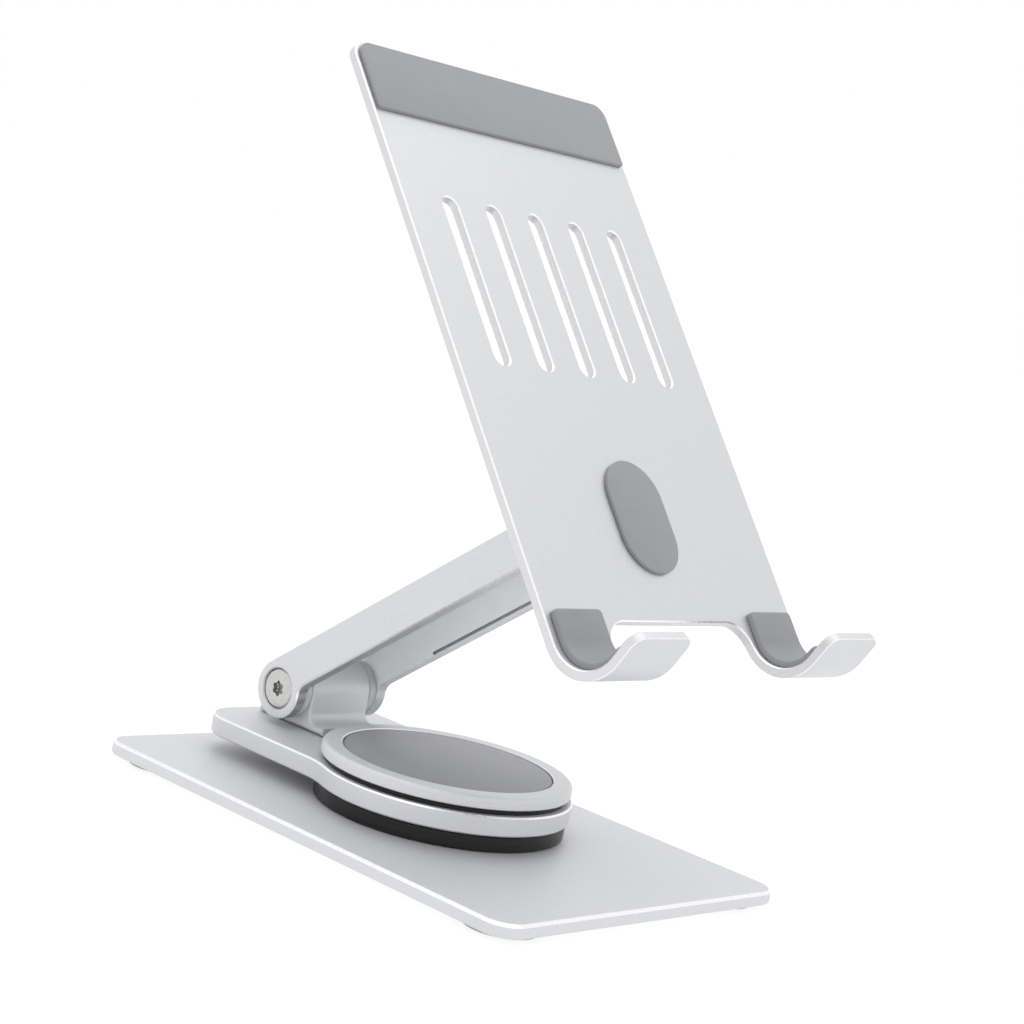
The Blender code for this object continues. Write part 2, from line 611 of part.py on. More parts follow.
def build_holder(arm_axis):
    axis = empty("upper_hinge_axis", (0, -ARM_LENGTH, 0), ARM_ANGLE - LEAN, arm_axis)
    plate = holder_plate(axis)
    lug_mesh = extruded(lug_outline(), -KNUCKLE_HALF_W, KNUCKLE_HALF_W, "X")
    lug = part("upper_hinge_block", lug_mesh, "aluminium", axis)
    chamfer(lug, 0.0005)
    cut(lug, rod(PIN_R + GAP, -0.02, 0.02, along="X"))
    head, tip = PLATE_FRONT - 0.0002, PIN_R + 0.0005
    for name, way in (("left", -1), ("right", 1)):
        place = (way * LUG_SCREW_X, 0, LUG_SCREW_Z)
        for target in (plate, lug):
            hole = screw_hole(head, tip)
            hole.transform(TO_FRONT)
            cut(target, hole, place)
        screw = turned(screw_profile(head, tip), SMALL)
        screw.transform(TO_FRONT)
        part("lug_screw_" + name, screw, "steel", axis, place)
    front = -PLATE_FRONT - PAD_GAP
    top = rounded_box(PLATE_HALF_W - TOP_PAD_INSET, TOP_PAD_LOW, PLATE_TOP - 0.0010, 0.0048, 6)
    bottom_corner = 0.0010
    top = [(x, z) for x, z in top if z > (TOP_PAD_LOW + PLATE_TOP) / 2]
    half = PLATE_HALF_W - TOP_PAD_INSET
    top += arc((-half + bottom_corner, TOP_PAD_LOW + bottom_corner), bottom_corner, 180, 270, 3)
    top += arc((half - bottom_corner, TOP_PAD_LOW + bottom_corner), bottom_corner, 270, 360, 3)
    pads = {"top_pad": top,
            "oval_pad": rounded_box(OVAL_HALF_W, OVAL_Z - OVAL_HALF_H, OVAL_Z + OVAL_HALF_H, OVAL_HALF_W, 10)}
    for name, outline in pads.items():
        pad = part(name, extruded(outline, front - PAD_T, front, "Y"), "silicone", axis)
        chamfer(pad, 0.0003)
    hook_pad("hook_pad_left", axis, -1)
    hook_pad("hook_pad_right", axis, 1)


clear_scene()
PARTS = collection("tablet_stand")
CUTTERS = collection("cutters")
TO_FRONT = Matrix.Rotation(math.radians(90), 4, "X")
build_base()
turntable_axis = build_turntable()
lower_hinge_axis = build_arm(turntable_axis)
build_holder(lower_hinge_axis)
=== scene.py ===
"""Looks for the folding tablet stand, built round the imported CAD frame.

Every visible piece of the stand is remade here at its CAD size with finer curves and cut edges, and rides on
its own moving body. The screws and the post, which are hidden, keep their CAD shape. Metres, in the frame's own
coordinates: +X right, -Y towards the user, z = 0 the desk.
"""

import math

import bmesh
import bpy
from mathutils import Matrix, Vector


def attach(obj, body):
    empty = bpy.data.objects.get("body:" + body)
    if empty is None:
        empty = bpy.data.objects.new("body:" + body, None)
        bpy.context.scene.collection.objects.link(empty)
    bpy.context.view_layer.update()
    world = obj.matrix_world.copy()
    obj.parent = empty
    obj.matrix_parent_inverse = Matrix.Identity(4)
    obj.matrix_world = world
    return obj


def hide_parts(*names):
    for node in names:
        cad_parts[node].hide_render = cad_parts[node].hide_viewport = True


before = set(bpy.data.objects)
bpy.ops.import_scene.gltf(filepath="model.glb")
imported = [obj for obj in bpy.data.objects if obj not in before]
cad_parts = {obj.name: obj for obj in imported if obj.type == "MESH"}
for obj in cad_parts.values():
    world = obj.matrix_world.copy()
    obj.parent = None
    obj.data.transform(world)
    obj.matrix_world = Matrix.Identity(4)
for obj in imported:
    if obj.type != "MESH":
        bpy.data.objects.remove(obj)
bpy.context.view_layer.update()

# Sizes repeated from the CAD model: _R is a radius, _T a thickness and HALF half a width. LOW and TOP are
# heights above the desk, and in the holder heights up the plate from the upper pin. Only two sizes differ
# from the CAD: the upper ring reaches 0.6 mm further out, and the caps' recesses are 0.2 mm tighter.
TURN_Y = 0.0091
FOOT_H, FOOT_R, FOOT_INSET = 0.0015, 0.0120, 0.0145
BASE_W, BASE_L = 0.1288, 0.1790
BASE_LOW, BASE_TOP, BASE_CORNER = 0.0018, 0.0061, 0.0085
LOWER_RING_LOW, LOWER_RING_TOP = 0.0064, 0.0111
LOWER_RING_R, LOWER_RING_BORE_R = 0.0401, 0.0209
SWIVEL_LOW, SWIVEL_TOP, SWIVEL_R = 0.0114, 0.0176, 0.0410
TAIL_HALF, TAIL_END, TAIL_CORNER, TAIL_FILLET = 0.0353, 0.0800, 0.0130, 0.0260
POST_BORE_R = 0.0128
UPPER_RING_LOW, UPPER_RING_TOP = 0.0177, 0.0187
UPPER_RING_R, UPPER_RING_BORE_R = 0.0386, 0.0137
DISC_LOW, DISC_TOP, DISC_R, DISC_EDGE_R = 0.0188, 0.0233, 0.0400, 0.0016
DISC_PAD_R, DISC_PAD_LOW, DISC_PAD_TOP = 0.0336, 0.0218, 0.0231
HINGE = (0.0, TURN_Y + 0.0608, 0.0294)
ARM_ANGLE = math.radians(36.35)
ARM_LENGTH, ARM_HALF, ARM_R, ARM_UNDER = 0.1283, 0.02035, 0.0097, 0.0033
ARM_FILLET, CHEEK, FORK_R = 0.0050, 0.0051, 0.0115
ROOF_T, GROOVE_START, GROOVE_END = 0.0028, 0.0375, 0.1090
GROOVE_LIP, GROOVE_W, GROOVE_DEPTH = 0.0003, 0.0011, 0.0012
CHEEK_RECESS_R, CHEEK_RECESS = 0.0113, 0.0010
CAP_R, CAP_IN, CAP_OUT, CAP_RECESS_R, CAP_FLOOR = 0.00645, 0.01825, 0.02005, 0.0066, 0.01805
WASHER_R, WASHER_IN, LOWER_WASHER_T, UPPER_WASHER_T = 0.0092, 0.0132, 0.0028, 0.0018
PIN_BORE_R, SHANK_R, SHANK_END = 0.0038, 0.0035, 0.01815
STAR_R, STAR_WAVE, STAR_DEPTH = 0.00228, 0.00032, 0.0019
KNUCKLE_R, KNUCKLE_HALF = 0.0096, 0.0130
TOE_FRONT, TOE_BACK, TOE_T, HEEL_T, BLOCK_HOLLOW = 0.0168, 0.0144, 0.0026, 0.0042, 0.0032
LEAN = math.radians(38.96)
PLATE_T, PLATE_BACK, PLATE_HALF, PLATE_TOP, PLATE_CORNER = 0.0030, 0.0122, 0.0584, 0.1545, 0.0060
HOOK_R, HOOK_Z, HOOK_BEND = 0.0124, -0.0410, math.radians(111)
LIP, LIP_CORNER = 0.0100, 0.0040
NOTCH_HALF, NOTCH_TOP, NOTCH_R = 0.0335, -0.0344, 0.0090
SLOT_PITCH, SLOT_HALF, SLOT_LOW, SLOT_HIGH = 0.0192, 0.0033, 0.0462, 0.1030
PAD_T, TOP_PAD_LOW, TOP_PAD_HALF = 0.0011, 0.1302, 0.0570
OVAL_HALF_W, OVAL_HALF_H, OVAL_Z = 0.0121, 0.0184, -0.0010
HOOK_PAD_X, HOOK_PAD_HALF, HOOK_PAD_T = 0.0456, 0.01015, 0.0019
HOOK_PAD_TOP, HOOK_PAD_REACH = -0.0315, 0.0025
LUG_R, LUG_NECK, LUG_FOOT_T, LUG_FOOT_DROP, LUG_HOLLOW = 0.0093, 0.0028, 0.0028, 0.0075, 0.0025
GAP = 0.0003  # between neighbouring metal parts
LIFT = 0.0001  # between a pad and the sheet it lies on

PLATE_FRONT = PLATE_BACK + PLATE_T
HOOK_MIDDLE = HOOK_R + PLATE_T / 2
BEND_LENGTH = HOOK_MIDDLE * HOOK_BEND  # along the sheet's middle
UPPER = (0.0, HINGE[1] - ARM_LENGTH * math.cos(ARM_ANGLE), HINGE[2] + ARM_LENGTH * math.sin(ARM_ANGLE))
AT_TURN = Matrix.Translation((0, TURN_Y, 0))
AT_HINGE = Matrix.Translation(HINGE)
AT_ARM = AT_HINGE @ Matrix.Rotation(-ARM_ANGLE, 4, "X")
AT_UPPER_END = Matrix.Translation(UPPER) @ Matrix.Rotation(-ARM_ANGLE, 4, "X")
AT_HOLDER = Matrix.Translation(UPPER) @ Matrix.Rotation(-LEAN, 4, "X")


# ---------------------------------------------------------------- materials

NOISE_LOW, NOISE_HIGH = 0.3, 0.7  # where most of a noise's values lie


class Nodes:
    """Adds shader nodes to a new material."""

    def __init__(self, name):
        self.material = bpy.data.materials.new(name)
        self.material.use_nodes = True
        self.tree = self.material.node_tree
        self.shader = self.tree.nodes["Principled BSDF"]
        self.where = self.add("ShaderNodeTexCoord").outputs["Object"]

    def add(self, kind, **settings):
        node = self.tree.nodes.new(kind)
        for key, value in settings.items():
            if key in node.inputs:
                node.inputs[key].default_value = value
            else:
                setattr(node, key, value)
        return node

    def link(self, out, into):
        self.tree.links.new(out, into)

    def noise(self, scale, detail=2.0, rough=0.5, stretch=None):
        node = self.add("ShaderNodeTexNoise", Scale=scale, Detail=detail, Roughness=rough)
        place = self.where
        if stretch:
            mapping = self.add("ShaderNodeMapping", Scale=stretch)
            self.link(place, mapping.inputs["Vector"])
            place = mapping.outputs["Vector"]
        self.link(place, node.inputs["Vector"])
        return node.outputs["Fac"]

    def ramp(self, noise, low, high):
        """A number between low and high that follows a noise."""
        node = self.add("ShaderNodeMapRange")
        self.link(noise, node.inputs["Value"])
        limits = {"From Min": NOISE_LOW, "From Max": NOISE_HIGH, "To Min": low, "To Max": high}
        for name, number in limits.items():
            node.inputs[name].default_value = number
        return node.outputs["Result"]

    def tint(self, value, dark, light):
        """Colour between dark and light as value goes from 0 to 1."""
        node = self.add("ShaderNodeMix", data_type="RGBA")
        self.link(value, node.inputs["Factor"])
        node.inputs["A"].default_value = (*dark, 1)
        node.inputs["B"].default_value = (*light, 1)
        return node.outputs["Result"]

    def shade(self, noise, dark, light):
        """Colour between dark and light that follows a noise."""
        return self.tint(self.ramp(noise, 0, 1), dark, light)

    def bump(self, height, strength, distance, before=None):
        node = self.add("ShaderNodeBump", Strength=strength, Distance=distance)
        self.link(height, node.inputs["Height"])
        if before is not None:
            self.link(before, node.inputs["Normal"])
        return node.outputs["Normal"]

    def finish(self, **sockets):
        """Numbers go on the shader's own sockets, and node outputs are linked to them."""
        names = {"colour": "Base Color", "roughness": "Roughness", "metallic": "Metallic",
                 "normal": "Normal", "specular": "Specular IOR Level", "sheen": "Sheen Weight",
                 "sheen_roughness": "Sheen Roughness", "anisotropic": "Anisotropic"}
        for key, value in sockets.items():
            socket = self.shader.inputs[names[key]]
            if isinstance(value, bpy.types.NodeSocket):
                self.link(value, socket)
            else:
                socket.default_value = value
        return self.material


def blasted_aluminium(name="blasted_aluminium", metallic=1.0):
    """Silver anodised metal, bead blasted: a fine even sparkle over faint cloudy variation.

    The thicker the clear anodic layer, the more it scatters and the less the metal under it mirrors.
    """
    n = Nodes(name)
    grain = n.noise(4200, 1.0)
    cloud = n.noise(38, 3.0, 0.6)
    colour = n.shade(grain, (0.640, 0.645, 0.660), (0.725, 0.730, 0.744))
    fine = n.bump(grain, 0.35, 0.00006)
    return n.finish(colour=colour, metallic=metallic, roughness=n.ramp(cloud, 0.44, 0.50), specular=0.3,
                    normal=n.bump(n.noise(1500, 1.0), 0.12, 0.0001, fine))


def cut_aluminium_painted_highlight():
    """The machined edges, smoother and with the tool's fine lines. Their brighter colour is painted highlight,
    standing in for the light that the edges catch.
    """
    n = Nodes("cut_aluminium_painted_highlight")
    lines = n.noise(900, 1.0)
    colour = n.shade(lines, (0.90, 0.905, 0.915), (0.96, 0.963, 0.970))
    return n.finish(colour=colour, metallic=1.0, roughness=n.ramp(lines, 0.26, 0.36),
                    normal=n.bump(lines, 0.15, 0.00004))


def silicone():
    """Smooth matt grey silicone with a powdery surface."""
    n = Nodes("grey_silicone")
    mottle = n.noise(140, 3.0, 0.6)
    colour = n.shade(mottle, (0.246, 0.250, 0.262), (0.268, 0.272, 0.284))
    grain = n.bump(n.noise(3200, 2.0), 0.30, 0.00005)
    return n.finish(colour=colour, roughness=n.ramp(mottle, 0.42, 0.52), normal=grain, specular=0.62,
                    sheen=0.12, sheen_roughness=0.5)


def black_plastic():
    """Black nylon with the fine lines that turning leaves round it."""
    n = Nodes("black_ring_plastic")
    lines = n.noise(120, 3.0, 0.6, stretch=(0.3, 0.3, 45))
    colour = n.shade(lines, (0.003, 0.003, 0.004), (0.016, 0.016, 0.018))
    return n.finish(colour=colour, roughness=n.ramp(lines, 0.24, 0.42), specular=0.24,
                    normal=n.bump(lines, 0.25, 0.00005))


def milled_aluminium_painted_shade():
    """The arm's edges and grooves, milled a little smoother than its blasted sides. Their darker colour is
    painted shade, standing in for the shade on the arm's underside and in its grooves.
    """
    n = Nodes("milled_aluminium_painted_shade")
    lines = n.noise(500, 2.0)
    colour = n.shade(lines, (0.500, 0.505, 0.518), (0.560, 0.565, 0.578))
    return n.finish(colour=colour, metallic=1.0, roughness=n.ramp(n.noise(60, 2.0), 0.36, 0.43),
                    normal=n.bump(lines, 0.12, 0.00005))


def cast_inside_painted_light():
    """The unmachined inside of the arm: matt and slightly uneven. Its pale, near white colour is painted light,
    standing in for the light that fills the deep channel.
    """
    n = Nodes("cast_inside_painted_light")
    grain = n.noise(1400, 3.0)
    cloud = n.noise(70, 3.0, 0.6)
    colour = n.shade(cloud, (0.900, 0.908, 0.925), (0.940, 0.948, 0.965))
    return n.finish(colour=colour, metallic=0.0, roughness=n.ramp(grain, 0.50, 0.62), specular=0.5,
                    normal=n.bump(grain, 0.25, 0.00008))


def washer_nylon():
    """Milky nylon with a faint mottle."""
    n = Nodes("washer_nylon")
    mottle = n.noise(260, 3.0, 0.6)
    colour = n.shade(mottle, (0.56, 0.57, 0.59), (0.64, 0.65, 0.67))
    return n.finish(colour=colour, roughness=n.ramp(mottle, 0.34, 0.46), specular=0.5,
                    normal=n.bump(mottle, 0.1, 0.0001))


def sawn_aluminium():
    """The sheet's cut edge, coarser than its faces."""
    n = Nodes("sawn_aluminium")
    grain = n.noise(2600, 2.0)
    colour = n.shade(grain, (0.655, 0.650, 0.664), (0.785, 0.780, 0.794))
    return n.finish(colour=colour, metallic=1.0, roughness=n.ramp(grain, 0.42, 0.55),
                    normal=n.bump(grain, 0.45, 0.0001))


def turned_steel():
    """Bright steel with fine marks and the stretched glints of turned metal."""
    n = Nodes("turned_steel")
    fine = n.noise(700, 2.0)
    colour = n.shade(fine, (0.52, 0.515, 0.505), (0.61, 0.605, 0.595))
    return n.finish(colour=colour, metallic=1.0, roughness=n.ramp(fine, 0.22, 0.34),
                    normal=n.bump(fine, 0.12, 0.00005), anisotropic=0.4)


def socket_steel_painted_shade():
    """The broached inside of the driver sockets, with coarser marks. Its darker colour is painted shade,
    standing in for the shade deep in the socket.
    """
    n = Nodes("socket_steel_painted_shade")
    marks = n.noise(1800, 2.0)
    colour = n.shade(marks, (0.30, 0.30, 0.30), (0.52, 0.515, 0.51))
    return n.finish(colour=colour, metallic=1.0, roughness=n.ramp(marks, 0.30, 0.45),
                    normal=n.bump(marks, 0.3, 0.0001))


def foot_rubber():
    """Grainy mid grey rubber."""
    n = Nodes("foot_rubber")
    grain = n.noise(900, 3.0)
    colour = n.shade(grain, (0.30, 0.30, 0.305), (0.36, 0.36, 0.365))
    return n.finish(colour=colour, roughness=n.ramp(grain, 0.62, 0.78), normal=n.bump(grain, 0.4, 0.0001))


# ---------------------------------------------------------------- mesh helpers

SLOTS = 5  # the most material numbers that a carved mesh has
SHARP = math.radians(30)  # edges that turn more than this are shaded sharp


def arc(centre, radius, start, end, steps):
    """Points on a circle from one angle to another, in degrees."""
    turns = [math.radians(start + (end - start) * i / steps) for i in range(steps + 1)]
    return [(centre[0] + radius * math.cos(t), centre[1] + radius * math.sin(t)) for t in turns]


def piece(name, mesh, place, body, nodes, materials):
    """A finished visual piece in the frame's coordinates that rides on a body and stands for CAD nodes."""
    mesh.name = name
    mesh.transform(place)
    numbers = [face.material_index for face in mesh.polygons]
    mesh.materials.clear()
    for material in materials:
        mesh.materials.append(material)
    for face, number in zip(mesh.polygons, numbers):
        face.material_index = min(number, len(materials) - 1)
    mesh.shade_smooth()
    mesh.set_sharp_from_angle(angle=SHARP)
    obj = bpy.data.objects.new(name, mesh)
    bpy.context.scene.collection.objects.link(obj)
    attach(obj, body)
    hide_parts(*nodes)


def loft(loops, close_ends=True, materials=None, ends=0):
    """Closed loops of points, joined in order. materials gives the material number of each band."""
    work = bmesh.new()
    rings = [[work.verts.new(point) for point in loop] for loop in loops]
    for band, (a, b) in enumerate(zip(rings, rings[1:])):
        for i in range(len(a)):
            j = (i + 1) % len(a)
            face = work.faces.new((a[i], a[j], b[j], b[i]))
            face.material_index = materials[band] if materials else 0
    if close_ends:
        for cap in (rings[0][::-1], rings[-1]):
            work.faces.new(cap).material_index = ends
    return to_mesh(work)


def to_mesh(work):
    """The bmesh as a mesh with all faces turned outwards."""
    bmesh.ops.recalc_face_normals(work, faces=work.faces)
    if work.calc_volume(signed=True) < 0:
        bmesh.ops.reverse_faces(work, faces=work.faces)
    mesh = bpy.data.meshes.new("piece")
    work.to_mesh(mesh)
    work.free()
    return mesh


def slab(outline, levels, along="Z", materials=None, ends=0):
    """A plate from an outline(inset) function: levels are (inset, height) pairs from low to high.

    Along Z the outline's points are (x, y), along X they are (y, z), and along Y they are (x, z).
    """
    put = {"X": lambda a, b, h: (h, a, b),
           "Y": lambda a, b, h: (a, h, b),
           "Z": lambda a, b, h: (a, b, h)}[along]
    loops = [[put(a, b, height) for a, b in outline(inset)] for inset, height in levels]
    return loft(loops, materials=materials, ends=ends)


def turned_loops(profile, steps, along):
    """The circles that the points of a (radius, height) profile make round the axis."""
    turns = [math.tau * i / steps for i in range(steps)]
    put = {"X": lambda x, y, h: (h, x, y), "Z": lambda x, y, h: (x, y, h)}[along]
    return [[put(r * math.cos(t), r * math.sin(t), h) for t in turns] for r, h in profile]


def lathe(profile, steps=128, along="Z", materials=None, ends=0):
    """A solid turned about an axis from a (radius, height) profile that starts and ends on the axis."""
    return loft(turned_loops(profile[1:-1], steps, along), materials=materials, ends=ends)


def rod(radius, low, high, steps, along="Z", number=0):
    """A round bar between two heights, as a cutter that leaves faces of one material number."""
    profile = [(0, low), (radius, low), (radius, high), (0, high)]
    return lathe(profile, steps, along, materials=[number], ends=number)


def tube_ring(profile, steps=128, along="Z"):
    """A ring turned about an axis from a closed (radius, height) profile."""
    mesh = loft(turned_loops(profile + profile[:1], steps, along), close_ends=False)
    work = bmesh.new()
    work.from_mesh(mesh)
    bmesh.ops.remove_doubles(work, verts=work.verts, dist=1e-7)
    return to_mesh(work)


def with_slots(mesh):
    """An object of the mesh with empty material slots, so that a cut keeps its material numbers."""
    while len(mesh.materials) < SLOTS:
        mesh.materials.append(None)
    obj = bpy.data.objects.new("carve", mesh)
    bpy.context.scene.collection.objects.link(obj)
    return obj


def carved(mesh, *tools):
    """The mesh with each tool mesh cut out of it. The cut faces keep the tool's material number."""
    body = with_slots(mesh)
    cutters = []
    for tool in tools:
        cutter = with_slots(tool)
        cut = body.modifiers.new("cut", "BOOLEAN")
        cut.operation = "DIFFERENCE"
        cut.solver = "EXACT"
        cut.object = cutter
        cut.material_mode = "INDEX"
        cutters.append(cutter)
    bpy.context.view_layer.update()
    done = bpy.data.meshes.new_from_object(body.evaluated_get(bpy.context.evaluated_depsgraph_get()))
    for obj in [body] + cutters:
        bpy.data.objects.remove(obj, do_unlink=True)
    return done


def rounded_box(half_w, low, high, radius, steps=14):
    """Outline function of a rectangle with rounded corners, centred on x = 0."""
    def outline(inset):
        r = max(radius - inset, 1e-5)
        x, bottom, top = half_w - inset - r, low + inset + r, high - inset - r
        return (arc((x, bottom), r, -90, 0, steps) + arc((x, top), r, 0, 90, steps)
                + arc((-x, top), r, 90, 180, steps) + arc((-x, bottom), r, 180, 270, steps))
    return outline


def edge_levels(low, high, bottom, top, steps=1):
    """Heights and insets for a slab with cut (steps 1) or rounded edges of the given widths."""
    turns = [math.pi / 2 * i / steps for i in range(steps + 1)]

    def quarter(width):
        return [(width * (1 - math.sin(t)), width * (1 - math.cos(t))) for t in turns]

    lower = [(inset, low + rise) for inset, rise in quarter(bottom)]
    upper = [(inset, high - rise) for inset, rise in quarter(top)]
    return lower + upper[::-1]


# ---------------------------------------------------------------- base and turntable

PLAIN, BRIGHT = range(2)  # the plates' material numbers


def build_base(alu, cut):
    """The flat base plate, with a wide bright bevel round its top."""
    outline = rounded_box(BASE_W / 2, -BASE_L / 2, BASE_L / 2, BASE_CORNER)
    levels = edge_levels(BASE_LOW, BASE_TOP, bottom=0.0005, top=0.0009)
    mesh = slab(outline, levels, materials=[PLAIN, PLAIN, BRIGHT])
    piece("base_slab", mesh, AT_TURN, "base", ["base_plate"], [alu, cut])


def build_feet(rubber):
    """Discs with a rounded lower edge, one under each corner of the base."""
    profile = [(0, 0), (FOOT_R - 0.0016, 0), (FOOT_R - 0.0008, 0.0002), (FOOT_R - 0.0003, 0.0007),
               (FOOT_R, 0.0013), (FOOT_R, FOOT_H), (0, FOOT_H)]
    x, y = BASE_W / 2 - FOOT_INSET, BASE_L / 2 - FOOT_INSET
    for end, along_y in (("front", -1), ("back", 1)):
        for side, along_x in (("left", -1), ("right", 1)):
            name = f"{end}_{side}"
            place = AT_TURN @ Matrix.Translation((along_x * x, along_y * y, 0))
            piece("rubber_foot_" + name, lathe(profile, 64), place, "base", ["foot_" + name], [rubber])


def build_rings(black):
    """The thick ring under the swivel plate, with rounded outer edges, and the thin one over it."""
    low, top, outer, bore = LOWER_RING_LOW, LOWER_RING_TOP, LOWER_RING_R, LOWER_RING_BORE_R
    ring = [(bore, top), (outer - 0.0006, top), (outer - 0.0002, top - 0.0002), (outer, top - 0.0006),
            (outer, low + 0.0003), (outer - 0.0003, low), (bore, low)]
    piece("black_lower_ring", tube_ring(ring), AT_TURN, "base", ["lower_slip_ring"], [black])
    low, top, outer, bore = UPPER_RING_LOW, UPPER_RING_TOP, UPPER_RING_R, UPPER_RING_BORE_R
    ring = [(bore, top), (outer, top), (outer, low), (bore, low)]
    piece("black_upper_ring", tube_ring(ring), AT_TURN, "base", ["upper_slip_ring"], [black])


def build_disc(alu, cut, pad):
    """The top disc, stepped up under its rim, with the pad sunk in a well with a bright cut mouth."""
    well_r, floor, mouth = DISC_PAD_R + 0.0002, DISC_PAD_LOW - 0.0001, 0.0002
    step_r, under, bevel = DISC_R - 0.0035, DISC_LOW + 0.0006, 0.0003
    below = [(0, DISC_LOW), (step_r, DISC_LOW), (step_r + 0.0003, under), (DISC_R - bevel, under),
             (DISC_R, under + bevel)]
    edge = arc((DISC_R - DISC_EDGE_R, DISC_TOP - DISC_EDGE_R), DISC_EDGE_R, 0, 90, 8)
    well = [(well_r + mouth, DISC_TOP), (well_r, DISC_TOP - mouth), (well_r, floor), (0, floor)]
    profile = below + edge + well
    bands = [PLAIN] * (len(below + edge) - 1) + [BRIGHT, PLAIN]
    piece("disc_rimmed", lathe(profile, 160, materials=bands), AT_TURN, "base", ["top_disc"], [alu, cut])
    pad_r = DISC_PAD_R - 0.0003
    soft = [(0, DISC_PAD_LOW), (pad_r, DISC_PAD_LOW), (pad_r, DISC_PAD_TOP - 0.0004),
            (pad_r - 0.00012, DISC_PAD_TOP - 0.00012), (pad_r - 0.0004, DISC_PAD_TOP), (0, DISC_PAD_TOP)]
    piece("disc_silicone", lathe(soft, 160), AT_TURN, "base", ["disc_pad"], [pad])


def keyhole(inset):
    """Outline of the swivel plate: round end, hollow fillets and a tail with rounded corners."""
    big, hollow, half = SWIVEL_R - inset, TAIL_FILLET + inset, TAIL_HALF - inset
    corner, end = TAIL_CORNER - inset, TAIL_END - inset
    fillet_x = half + hollow
    fillet_y = math.sqrt((big + hollow) ** 2 - fillet_x ** 2)
    lean = math.degrees(math.atan2(fillet_y, fillet_x))
    x, y = half - corner, end - corner
    return (arc((0, 0), big, 180 - lean, 360 + lean, 120)
            + arc((fillet_x, fillet_y), hollow, 180 + lean, 180, 16)[1:]
            + arc((x, y), corner, 0, 90, 20) + arc((-x, y), corner, 90, 180, 20)
            + arc((-fillet_x, fillet_y), hollow, 0, -lean, 16)[:-1])


def block_outline(inset):
    """Side view of the lower hinge block, (y, z) from the pin. Its foot is cut back less than its crown."""
    small = min(inset, 0.0009)
    ground = SWIVEL_TOP + GAP - HINGE[2]
    toe, heel, hollow = ground + TOE_T - small, ground + HEEL_T - small, BLOCK_HOLLOW + inset
    crown_r = KNUCKLE_R - inset
    ground += small
    front = [(-TOE_FRONT + small, ground), (-TOE_FRONT + small, toe)]
    front += arc((-crown_r - hollow, toe + hollow), hollow, -90, 0, 10)
    crown = arc((0, 0), crown_r, 180, 0, 40)
    back = arc((crown_r + hollow, heel + hollow), hollow, 180, 270, 10)
    return front + crown + back + [(TOE_BACK - small, heel), (TOE_BACK - small, ground)]


def build_turntable(alu, cut):
    """The swivel plate with its round bore for the post, and the hinge block that stands on its tail."""
    levels = edge_levels(SWIVEL_LOW, SWIVEL_TOP, bottom=0.0005, top=0.0005)
    bore = rod(POST_BORE_R, SWIVEL_LOW - 0.0014, SWIVEL_TOP + 0.0044, 64)
    plate = slab(keyhole, levels, materials=[PLAIN, PLAIN, BRIGHT])
    mesh = carved(plate, bore)
    piece("swivel_slab", mesh, AT_TURN, "turntable", ["swivel_plate"], [alu, cut])
    levels = edge_levels(-KNUCKLE_HALF, KNUCKLE_HALF, bottom=0.0011, top=0.0011, steps=5)
    mesh = carved(slab(block_outline, levels, "X"), pin_bore())
    piece("lower_knuckle", mesh, AT_HINGE, "turntable", ["lower_hinge_block"], [alu])


# ---------------------------------------------------------------- arm

SIDE, EDGE, INSIDE, GROOVE, BEVEL = range(5)  # the arm's material numbers


def pin_bore():
    """Cutter of a hinge pin's hole, long enough for either block."""
    return rod(PIN_BORE_R, -0.03, 0.03, 48, "X")


def arm_outline(inset):
    """Side view of the arm, (y, z) from the lower pin with the upper pin at -ARM_LENGTH."""
    end_r, hollow, under = ARM_R - inset, ARM_FILLET + inset, ARM_UNDER - inset
    drop = math.sqrt((end_r + hollow) ** 2 - (under + hollow) ** 2)
    lean = math.degrees(math.atan2(under + hollow, drop))
    return (arc((0, 0), end_r, 90, -180 + lean, 56)
            + arc((-drop, -under - hollow), hollow, lean, 90, 10)[1:]
            + arc((drop - ARM_LENGTH, -under - hollow), hollow, 90, 180 - lean, 10)[:-1]
            + arc((-ARM_LENGTH, 0), end_r, -lean, -270, 56))


def channel_tool():
    """What opens the arm between its walls, as one side view below the roof: both forks and the channel."""
    half, roof = ARM_HALF - CHEEK, ARM_R - ROOF_T
    end, high = 0.03, 0.02  # well past the arm
    lean = math.degrees(math.asin(roof / FORK_R))
    lower = arc((0, 0), FORK_R, 180 - lean, 106, 20)
    upper = arc((-ARM_LENGTH, 0), FORK_R, 74, lean, 20)
    around = [(lower[-1][0], high), (end, high), (end, -high), (-ARM_LENGTH - end, -high),
              (-ARM_LENGTH - end, high), (upper[0][0], high)]
    side_view = lower + around + upper
    return slab(lambda inset: side_view, [(0, -half), (0, half)], "X", materials=[INSIDE], ends=INSIDE)


def groove_tool():
    """Cutter of the narrow groove along the lower edge of both walls."""
    reach = ARM_HALF - CHEEK + GROOVE_DEPTH
    low, high = GROOVE_LIP - ARM_UNDER, GROOVE_LIP + GROOVE_W - ARM_UNDER
    side_view = [(-GROOVE_START, low), (-GROOVE_START, high), (-GROOVE_END, high), (-GROOVE_END, low)]
    return slab(lambda inset: side_view, [(0, -reach), (0, reach)], "X", materials=[GROOVE], ends=GROOVE)


def cheek_recess(side):
    """The round recess milled into one lower cheek's inner face, for the washer."""
    inner = ARM_HALF - CHEEK
    low, high = sorted((side * (inner - 0.0003), side * (inner + CHEEK_RECESS)))
    return rod(CHEEK_RECESS_R, low, high, 96, "X", INSIDE)


